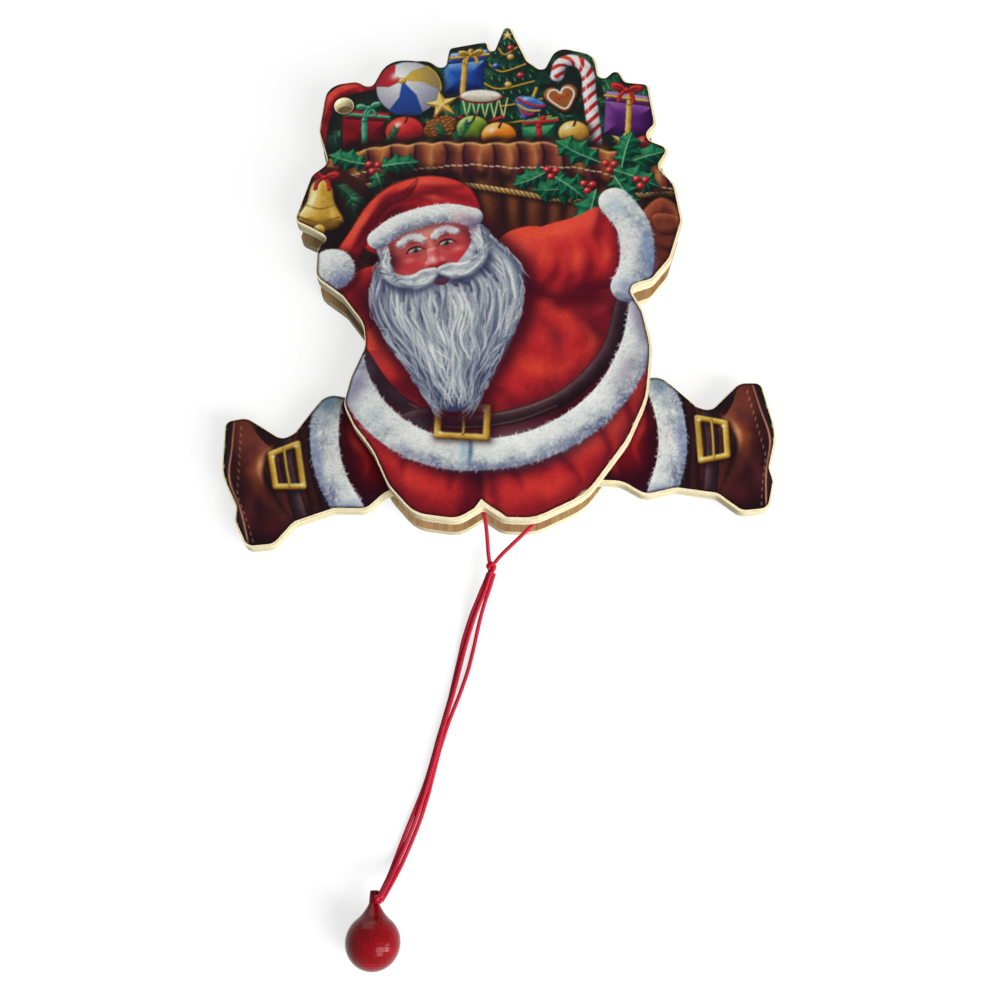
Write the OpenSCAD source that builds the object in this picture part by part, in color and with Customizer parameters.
// Pull string jumping jack, a flat wooden toy. Two plywood panels hold a pair of legs
// between them. A cord is tied to a lever at the inner end of each leg, and both cords
// meet in one knot below the panels, from which three strands run to a wooden ball.
// The toy lies on its back: +Z is the printed front, +Y is towards the head, and the
// origin is on the back face, midway between the two hip pins.
// Left and right are those of someone who looks at the front.

/* [Panels] */
// Width of both panels
panel_w = 140; // [120:1:160]
// Height of both panels
panel_h = 206; // [180:1:230]
// Thickness of the front panel
front_t = 4.6; // [4:0.1:6]
// Thickness of the back panel
back_t = 3.6; // [3:0.1:5]
// Bare wood left round each print
rim_w = 0.6; // [0.5:0.1:1.8]
// Thickness of the printed paper
print_t = 0.15; // [0.1:0.05:0.3]

/* [Hang hole] */
// Diameter of the hang hole
hang_d = 7; // [4:0.5:8]

/* [Legs] */
// Length of a leg from the hip pin to the sole
leg_l = 75; // [68:1:82]
// Thickness of a leg
leg_t = 4.2; // [3.5:0.1:5]
// Space behind each leg, up to the back panel
back_play = 1.9; // [1.7:0.1:2.5]
// Space in front of each leg, up to the front panel
front_play = 1.9; // [1.8:0.1:2.5]
// Distance between the two hip pins
hip_span = 46.6; // [44:0.2:50]
// Angle of the left leg above the horizontal, as the toy lies
left_raise = -12; // [-15:1:0]
// Angle of the right leg above the horizontal, as the toy lies
right_raise = 0; // [-5:1:5]

/* [Levers] */
// Distance from the hip pin to the cord hole in the leg
lever_r = 11; // [10:0.1:12]
// Angle of the lever below the line of the leg
lever_angle = 26; // [20:1:32]
// Diameter of the cord hole in the leg
lever_hole_d = 2; // [1.6:0.1:2.4]

/* [Hip pins] */
// Diameter of the hip pins
pin_d = 4; // [3:0.1:5]
// Depth of the blind hole for a pin in the front panel
pin_blind = 2.6; // [2:0.1:3.2]
// Outer diameter of the washers on the pins
washer_d = 9; // [8:0.5:11]

/* [Spacers] */
// Width of the crown spacer
crown_w = 62; // [50:1:70]
// Height of the crown spacer
crown_h = 13; // [9:1:16]
// Width of a side spacer
side_w = 10; // [8:1:12]
// Height of a side spacer
side_h = 22; // [16:1:26]
// Diameter of the body spacer
body_spacer_d = 14; // [10:1:18]

/* [Cord] */
// Diameter of the braided cord
cord_d = 1.4; // [1.2:0.05:1.4]

/* [Ball] */
// Diameter of the ball
ball_d = 17; // [14:0.5:18]
// Diameter of the neck at its end
neck_d = 2.8; // [2.4:0.1:3.4]
// Length of the neck beyond the ball
neck_l = 6.7; // [6:0.1:9]
// Diameter of the cross hole in the neck
neck_hole_d = 1.6; // [1.4:0.1:1.8]

/* [Hidden] */

// Clearances and small sizes
pin_play = 0.08;
glue_play = 0.05;
washer_play = 0.15;
cord_play = 0.15;
print_hole_gap = 0.3;
panel_print_shift = [-0.3, 0.35];
leg_print_shift = [0, 0.35];
overrun = 1;
pin_end_gap = 0.3;

// Heights of the layers above the back face
gap = back_play + leg_t + front_play;
leg_z = back_t + back_play;
leg_front_z = leg_z + leg_t;
front_z = back_t + gap;
total_t = front_z + front_t;
cord_r = cord_d / 2;
cord_layer_z = front_z - cord_play - cord_r;

// Colours
wood = [0.87, 0.77, 0.55];
dark_wood = [0.72, 0.55, 0.33];
print_red = [0.72, 0.13, 0.13];
boot_brown = [0.35, 0.13, 0.1];
cord_red = [0.78, 0.1, 0.2];
ball_red = [0.55, 0.02, 0.05];
nylon = [0.93, 0.92, 0.88];

// Outline of the panels, counter-clockwise from the top of the fir tree. Each corner is
// [x as a share of panel_w, y as a share of panel_h, radius as a share of panel_w].
panel_shares = [
    [0.021, 0.879, 0.014],   // tip of the fir tree
    [-0.022, 0.792, 0.016],
    [-0.034, 0.828, 0.014],  // gift box
    [-0.142, 0.812, 0.018],
    [-0.154, 0.758, 0.014],
    [-0.193, 0.782, 0.050],  // striped ball
    [-0.314, 0.786, 0.070],
    [-0.357, 0.718, 0.018],
    [-0.395, 0.735, 0.036],  // hanging strap
    [-0.480, 0.725, 0.058],
    [-0.495, 0.620, 0.058],
    [-0.464, 0.551, 0.030],
    [-0.507, 0.525, 0.036],  // bell
    [-0.545, 0.427, 0.022],
    [-0.490, 0.407, 0.030],
    [-0.450, 0.390, 0.022],
    [-0.480, 0.374, 0.036],  // pompom of the hat
    [-0.480, 0.311, 0.043],
    [-0.407, 0.272, 0.058],
    [-0.350, 0.218, 0.072],  // shoulder
    [-0.343, 0.175, 0.058],
    [-0.376, 0.117, 0.058],  // fur edge of the coat
    [-0.392, 0.066, 0.050],
    [-0.362, 0.024, 0.050],
    [-0.314, -0.020, 0.180],
    [-0.272, -0.083, 0.086],
    [-0.207, -0.134, 0.086], // seat of the trousers
    [-0.100, -0.144, 0.064],
    [-0.040, -0.118, 0.011],
    [0.007, -0.141, 0.058],
    [0.086, -0.143, 0.114],
    [0.214, -0.100, 0.143],
    [0.321, 0, 0.180],
    [0.372, 0.078, 0.180],
    [0.389, 0.175, 0.180],   // side of the coat
    [0.371, 0.243, 0.072],
    [0.336, 0.291, 0.021],
    [0.400, 0.306, 0.036],   // mitten and cuff
    [0.450, 0.350, 0.058],
    [0.486, 0.427, 0.050],   // edge of the sack
    [0.471, 0.505, 0.058],
    [0.429, 0.544, 0.021],
    [0.464, 0.583, 0.021],   // holly leaf
    [0.393, 0.607, 0.021],
    [0.429, 0.636, 0.021],   // gift box with a bow
    [0.414, 0.728, 0.018],
    [0.350, 0.733, 0.014],
    [0.329, 0.767, 0.021],
    [0.279, 0.731, 0.014],
    [0.268, 0.796, 0.043],   // crook of the candy cane
    [0.160, 0.816, 0.043],
    [0.121, 0.757, 0.014],
    [0.079, 0.782, 0.014]
];

// Outline of a leg, counter-clockwise from the lever. Each corner is [x, y, radius] as
// shares of leg_l, with the hip pin at 0 and the sole at the far end of x.
leg_shares = [
    [-0.193, -0.127, 0.060], // lever
    [-0.053, -0.167, 0.107],
    [0.253, -0.180, 0.107],
    [0.360, -0.247, 0.080],  // fur band
    [0.507, -0.213, 0.067],
    [0.693, -0.240, 0.053],
    [0.800, -0.327, 0.067],  // heel
    [0.927, -0.313, 0.053],
    [0.963, -0.173, 0.080],
    [0.947, -0.107, 0.040],
    [0.993, 0.067, 0.267],
    [0.960, 0.227, 0.133],
    [0.940, 0.333, 0.040],   // toe
    [0.833, 0.333, 0.080],
    [0.687, 0.187, 0.053],
    [0.627, 0.207, 0.053],
    [0.533, 0.300, 0.067],
    [0.447, 0.380, 0.107],   // fur band
    [0.320, 0.320, 0.107],
    [0.160, 0.233, 0.160],
    [-0.080, 0.167, 0.120],
    [-0.200, 0.020, 0.080]
];

// Places on the panels, as shares of panel_w and panel_h
hang_share = [-0.430, 0.679];
crown_share = [0.014, 0.590];
left_spacer_share = [-0.385, 0.350];
right_spacer_share = [0.380, 0.410];
body_spacer_share = [0, 0.190];

// The bare notch in the front print, above the left cord. Each corner is [x as a share of
// panel_w, y as a share of panel_h].
print_notch_shares = [
    [-0.045, -0.105], [-0.058, -0.1175], [-0.069, -0.129], [-0.069, -0.165], [0.018, -0.165],
    [0.018, -0.138], [0.004, -0.130], [-0.024, -0.1175], [-0.036, -0.111]
];

// Routes of the cords, points chosen along the cord as it lies
left_pull_route = [
    [-12.3, -3.7, 10.75], [-10.9, -8, 10.75], [-9.2, -13, 10.75], [-7.6, -18, 10.75],
    [-6.2, -22.5, 10.75], [-5.2, -26.5, 10.6], [-4.7, -30, 9.9], [-4.3, -34, 8.4],
    [-4, -38, 7], [-3.5, -41.6, 6.1]
];
right_pull_route = [
    [13.5, -5.9, 10.75], [13.8, -10, 10.75], [13.9, -15, 10.75], [13.6, -20, 10.75],
    [12.9, -24.5, 10.75], [11.6, -28.3, 10.5], [9, -31, 9.9], [5.5, -34.2, 8.9],
    [2, -37.3, 7.7], [-0.3, -39.5, 6.8], [-1.7, -41.2, 6.3]
];
outer_route = [
    [-3.9, -44.5, 5.3], [-5.1, -47.5, 4.8], [-6.5, -50.7, 4.15], [-7.9, -54.1, 3.25],
    [-9.6, -58.1, 2.35], [-11.15, -62.7, 1.55], [-12.55, -67.5, 1.1], [-13.6, -72.4, 0.85],
    [-14.65, -77.2, 0.75], [-15.65, -81.9, 0.75], [-16.7, -86.7, 0.75],
    [-17.95, -91.3, 0.75], [-19.2, -95.9, 0.75], [-20.5, -100.4, 0.8], [-21.6, -104.8, 0.8],
    [-22.7, -109, 0.8], [-23.9, -113.1, 0.75], [-25.35, -117.4, 0.75], [-27, -121.65, 0.75],
    [-28.75, -126.1, 0.8], [-30.45, -130.5, 0.85], [-32.05, -134.8, 1],
    [-33.55, -139.1, 1.75], [-34.9, -143.2, 3.5], [-36.3, -146.9, 6.5],
    [-37.5, -150.15, 10.45]
];
inner_route = [
    [-3, -44.5, 6.6], [-4, -47.6, 5.85], [-5.1, -50.8, 4.95], [-6.6, -54.3, 3.95],
    [-8.2, -58.2, 2.95], [-9.75, -62.7, 2.2], [-11.15, -67.5, 1.75], [-12.4, -72.4, 1.65],
    [-13.55, -77.2, 1.8], [-14.65, -81.9, 1.9], [-15.9, -86.7, 2], [-17.2, -91.3, 2.05],
    [-18.5, -95.9, 2.05], [-19.7, -100.4, 2.05], [-20.8, -104.8, 2.05], [-21.9, -109, 2.05],
    [-23, -113.1, 1.95], [-24.2, -117.4, 1.75], [-25.7, -121.8, 1.5], [-27.25, -126.2, 1.2],
    [-28.9, -130.5, 1.1], [-30.6, -134.8, 1.5], [-32.3, -139, 2.6], [-33.8, -142.9, 4.65],
    [-35.25, -146.6, 8], [-36.75, -150.2, 12.05]
];
loose_route = [
    [-2, -44.7, 5.2], [-2.9, -47.7, 4.7], [-3.9, -50.8, 4.05], [-5.1, -54.2, 3.2],
    [-6.3, -58.2, 2.3], [-7.4, -62.7, 1.6], [-8.4, -67.5, 1.1], [-9.5, -72.4, 0.9],
    [-10.7, -77.2, 0.8], [-12.2, -81.9, 0.8], [-13.9, -86.7, 0.8], [-15.7, -91.3, 0.8],
    [-17.4, -95.9, 0.8], [-18.8, -100.4, 0.8], [-20.1, -104.8, 0.75], [-21.1, -109, 0.8],
    [-22.1, -113.1, 0.75], [-23.1, -117.4, 0.75], [-24.35, -121.8, 0.75],
    [-25.75, -126.2, 0.8], [-27.35, -130.5, 0.85], [-29.15, -134.95, 1.05],
    [-30.95, -139.25, 1.8], [-32.8, -143.4, 3.5], [-34.6, -147.3, 6.55],
    [-36.25, -150.95, 10.6]
];
knot_at = [-3, -43, 5.9];
knot_turn = [0, 0, -8];
ball_at = [-38.9, -163.2, 8.5];
ball_knot_tilt = 58;
cord_sides = 8;
arc_step = 12;

// Corner mathematics: corners are [x, y, radius] of a counter-clockwise outline
function xy(c) = [c.x, c.y];
function unit(v) = v / norm(v);
function before(c, i) = xy(c[(i + len(c) - 1) % len(c)]);
function after(c, i) = xy(c[(i + 1) % len(c)]);
function turn_sign(c, i) =
    cross(xy(c[i]) - before(c, i), after(c, i) - xy(c[i])) < 0 ? -1 : 1;
function half_angle(c, i) =
    acos(unit(before(c, i) - xy(c[i])) * unit(after(c, i) - xy(c[i]))) / 2;
function corner_room(c, i) =
    min(norm(before(c, i) - xy(c[i])), norm(after(c, i) - xy(c[i]))) / 2;

// The outline with each radius limited to what its two edges leave room for
function fitted(c) = [
    for (i = [0:len(c) - 1])
        [c[i].x, c[i].y, min(c[i].z, corner_room(c, i) * tan(half_angle(c, i)))]
];

// The outline moved inwards by d, with its arcs kept concentric
function inset(c, d) = [
    for (i = [0:len(c) - 1])
        let (
            a = unit(xy(c[i]) - before(c, i)),
            b = unit(after(c, i) - xy(c[i])),
            shift = ([-a.y, a.x] + [-b.y, b.x]) * d / (1 + a * b)
        )
        [c[i].x + shift.x, c[i].y + shift.y, max(c[i].z - turn_sign(c, i) * d, 0)]
];

// The points of the outline, with an arc at each corner
function arc_points(c) = [
    for (i = [0:len(c) - 1])
        let (
            p = xy(c[i]),
            a = unit(before(c, i) - p),
            b = unit(after(c, i) - p),
            h = half_angle(c, i),
            centre = p + unit(a + b) * c[i].z / sin(h),
            start = p + a * c[i].z / tan(h) - centre,
            sweep = turn_sign(c, i) * (180 - 2 * h),
            steps = c[i].z == 0 ? 0 : ceil(abs(sweep) / arc_step)
        )
        for (k = [0:steps])
            let (t = steps == 0 ? 0 : sweep * k / steps)
            centre + [start.x * cos(t) - start.y * sin(t), start.x * sin(t) + start.y * cos(t)]
];

panel_corners = fitted([
    for (s = panel_shares) [s.x * panel_w, s.y * panel_h, s.z * panel_w]
]);
leg_corners = fitted([for (s = leg_shares) s * leg_l]);

function on_panel(share) = [share.x * panel_w, share.y * panel_h, 0];

module plate(corners, z, t, shift = [0, 0]) {
    translate([shift.x, shift.y, z]) linear_extrude(t) polygon(arc_points(corners));
}

module hole(d, z, depth) {
    translate([0, 0, z]) cylinder(d = d, h = depth, $fn = 48);
}

// Places its children on a hip, with side -1 for the left and 1 for the right
module at_hip(side, raise = 0) {
    mirror([side < 0 ? 1 : 0, 0, 0])
        translate([hip_span / 2, 0, 0]) rotate([0, 0, raise]) children();
}

module at_lever() {
    rotate([0, 0, 180 + lever_angle]) translate([lever_r, 0, 0]) children();
}

module hang_hole(d) {
    translate(on_panel(hang_share)) hole(d, -overrun, total_t + print_t + 2 * overrun);
}

module front_panel() {
    color(wood) difference() {
        plate(panel_corners, front_z, front_t);
        hang_hole(hang_d);
        for (side = [-1, 1])
            at_hip(side) hole(pin_d + 2 * glue_play, front_z - overrun, pin_blind + overrun);
    }
}

module front_print() {
    color(print_red) difference() {
        plate(inset(panel_corners, rim_w), total_t, print_t, panel_print_shift);
        hang_hole(hang_d + 2 * print_hole_gap);
        translate([0, 0, total_t - overrun]) linear_extrude(print_t + 2 * overrun)
            polygon([for (s = print_notch_shares) [s.x * panel_w, s.y * panel_h]]);
    }
}

module back_panel() {
    color(dark_wood) difference() {
        plate(panel_corners, 0, back_t);
        hang_hole(hang_d);
        for (side = [-1, 1])
            at_hip(side) hole(pin_d + 2 * glue_play, -overrun, back_t + 2 * overrun);
    }
}

// A block with half round ends, standing between the panels
module spacer_block(w, h) {
    r = min(w, h) / 2;
    translate([0, 0, back_t]) linear_extrude(gap) union() {
        square([w - (h <= w ? 2 * r : 0), h - (h <= w ? 0 : 2 * r)], center = true);
        for (k = [-1, 1])
            translate([k * (w / 2 - r), k * (h / 2 - r)]) circle(r = r, $fn = 48);
    }
}

module crown_spacer() {
    color(wood) translate(on_panel(crown_share)) spacer_block(crown_w, crown_h);
}

module left_spacer() {
    color(wood) translate(on_panel(left_spacer_share)) spacer_block(side_w, side_h);
}

module right_spacer() {
    color(wood) translate(on_panel(right_spacer_share)) spacer_block(side_w, side_h);
}

module body_spacer() {
    color(wood) translate(on_panel(body_spacer_share))
        translate([0, 0, back_t]) cylinder(d = body_spacer_d, h = gap, $fn = 64);
}

module leg(side, raise) {
    color(wood) at_hip(side, raise) difference() {
        plate(leg_corners, leg_z, leg_t);
        hole(pin_d + 2 * pin_play, leg_z - overrun, leg_t + 2 * overrun);
        at_lever() hole(lever_hole_d, leg_z - overrun, leg_t + 2 * overrun);
    }
}

module leg_print(side, raise) {
    color(boot_brown) at_hip(side, raise) difference() {
        plate(inset(leg_corners, rim_w), leg_front_z, print_t, leg_print_shift);
        hole(pin_d + 2 * print_hole_gap, leg_front_z - overrun, print_t + 2 * overrun);
        at_lever() hole(
            lever_hole_d + 2 * print_hole_gap, leg_front_z - overrun, print_t + 2 * overrun
        );
    }
}

// The pin stands in the back panel and ends in the blind hole of the front panel
module pivot_pin(side) {
    color(dark_wood) at_hip(side) hole(pin_d, 0, front_z + pin_blind - pin_end_gap);
}

// One washer lies on the back panel and one on the inside of the front panel
module leg_washers(side) {
    back_h = back_play - washer_play;
    front_h = front_play - print_t - washer_play;
    color(nylon) at_hip(side) difference() {
        union() {
            hole(washer_d, back_t, back_h);
            hole(washer_d, front_z - front_h, front_h);
        }
        hole(pin_d + 2 * washer_play, back_t - overrun, gap + 2 * overrun);
    }
}

// The cord's end: a stopper knot behind the leg, the run through the hole, and the bend
module lever_knot(side, raise) {
    knot_top = leg_z - glue_play;
    knot_h = back_play - cord_play - glue_play;
    color(cord_red) at_hip(side, raise) at_lever() rotate_extrude($fn = 32) polygon([
        [0, knot_top - knot_h],
        [cord_r * 1.4, knot_top - knot_h],
        [cord_r * 2.2, knot_top - knot_h * 0.7],
        [cord_r * 2.3, knot_top - knot_h * 0.4],
        [cord_r * 1.9, knot_top - knot_h * 0.1],
        [cord_r * 1.5, knot_top],
        [cord_r, knot_top],
        for (a = [0:15:90]) [cord_r * cos(a), cord_layer_z + cord_r * sin(a)]
    ]);
}

// Direction of the route at point i
function route_way(r, i) = unit(r[min(i + 1, len(r) - 1)] - r[max(i - 1, 0)]);

// A ring of the cord round point i of its route
function ring_points(r, i) =
    let (
        way = route_way(r, i),
        side = unit([way.y, -way.x, 0]),
        up = cross(side, way)
    )
    [
        for (k = [0:cord_sides - 1])
            let (a = (k + 1 / 2) * 360 / cord_sides)
            r[i] + cord_r * (cos(a) * side + sin(a) * up)
    ];

module cord_tube(r) {
    n = cord_sides;
    last = (len(r) - 1) * n;
    color(cord_red) polyhedron(
        points = [for (i = [0:len(r) - 1]) each ring_points(r, i)],
        faces = [
            [for (k = [0:n - 1]) k],
            [for (k = [0:n - 1]) last + n - 1 - k],
            for (i = [0:len(r) - 2], k = [0:n - 1])
                let (a = i * n + k, b = i * n + (k + 1) % n)
                each [[a, a + n, b + n], [a, b + n, b]]
        ]
    );
}

// A knot of three turns of cord round an axis along Y
module cord_knot() {
    turns = 3;
    pitch = cord_d * 0.95;
    half_l = turns * pitch / 2;
    reach = cord_d * 1.15;
    color(cord_red) translate(knot_at) rotate(knot_turn) rotate([90, 0, 0])
        rotate_extrude($fn = 32) polygon([
            [0, -half_l],
            [reach - cord_r, -half_l],
            for (j = [0:turns - 1], a = [-60:30:60])
                [reach - cord_r * (1 - cos(a)), (j + 1 / 2) * pitch - half_l + cord_r * sin(a)],
            [reach - cord_r, half_l],
            [0, half_l]
        ]);
}

// The ball's profile: most of a sphere, then a hollow flare up to a thin neck
sphere_end = 144;
sphere_step = 9;
flare_step = 1 / 8;
flare_shares = [[sin(sphere_end), -cos(sphere_end)], [0.386, 0.96], [0.19, 1.32]];
function flare(t) =
    (1 - t) * (1 - t) * flare_shares[0] + 2 * t * (1 - t) * flare_shares[1]
    + t * t * flare_shares[2];

module at_ball_hole() {
    hole_h = ball_d / 2 + neck_l - neck_hole_d * 1.6;
    translate(ball_at) translate([0, hole_h, 0]) rotate([0, 90 - ball_knot_tilt, 0]) children();
}

module pull_ball() {
    r = ball_d / 2;
    neck_r = neck_d / 2;
    color(ball_red) difference() {
        translate(ball_at) rotate([-90, 0, 0]) rotate_extrude($fn = 72) polygon([
            for (a = [0:sphere_step:sphere_end]) [r * sin(a), -r * cos(a)],
            for (t = [flare_step:flare_step:1]) flare(t) * r,
            [neck_r, r + neck_l - neck_r / 4],
            [neck_r * 0.8, r + neck_l],
            [0, r + neck_l]
        ]);
        at_ball_hole() cylinder(d = neck_hole_d, h = 2 * neck_d + 2 * overrun, center = true, $fn = 32);
    }
}

// The cord's end passes through the neck, with a round knot on the near side
module ball_knot() {
    seat = neck_d * 0.6;
    knot_r = cord_d * 1.05;
    color(cord_red) at_ball_hole() union() {
        translate([0, 0, -seat]) cylinder(r = cord_r, h = 2 * seat + knot_r, $fn = 32);
        translate([0, 0, seat + knot_r]) sphere(r = knot_r, $fn = 32);
    }
}

front_panel();
front_print();
back_panel();
crown_spacer();
left_spacer();
right_spacer();
body_spacer();
leg(-1, left_raise);  // left_leg
leg_print(-1, left_raise);  // left_leg_print
pivot_pin(-1);  // left_pivot_pin
leg_washers(-1);  // left_leg_washers
lever_knot(-1, left_raise);  // left_lever_knot
leg(1, right_raise);  // right_leg
leg_print(1, right_raise);  // right_leg_print
pivot_pin(1);  // right_pivot_pin
leg_washers(1);  // right_leg_washers
lever_knot(1, right_raise);  // right_lever_knot
cord_tube(left_pull_route);  // left_pull_cord
cord_tube(right_pull_route);  // right_pull_cord
cord_knot();
cord_tube(outer_route);  // outer_ball_strand
cord_tube(inner_route);  // inner_ball_strand
cord_tube(loose_route);  // loose_ball_strand
ball_knot();
pull_ball();
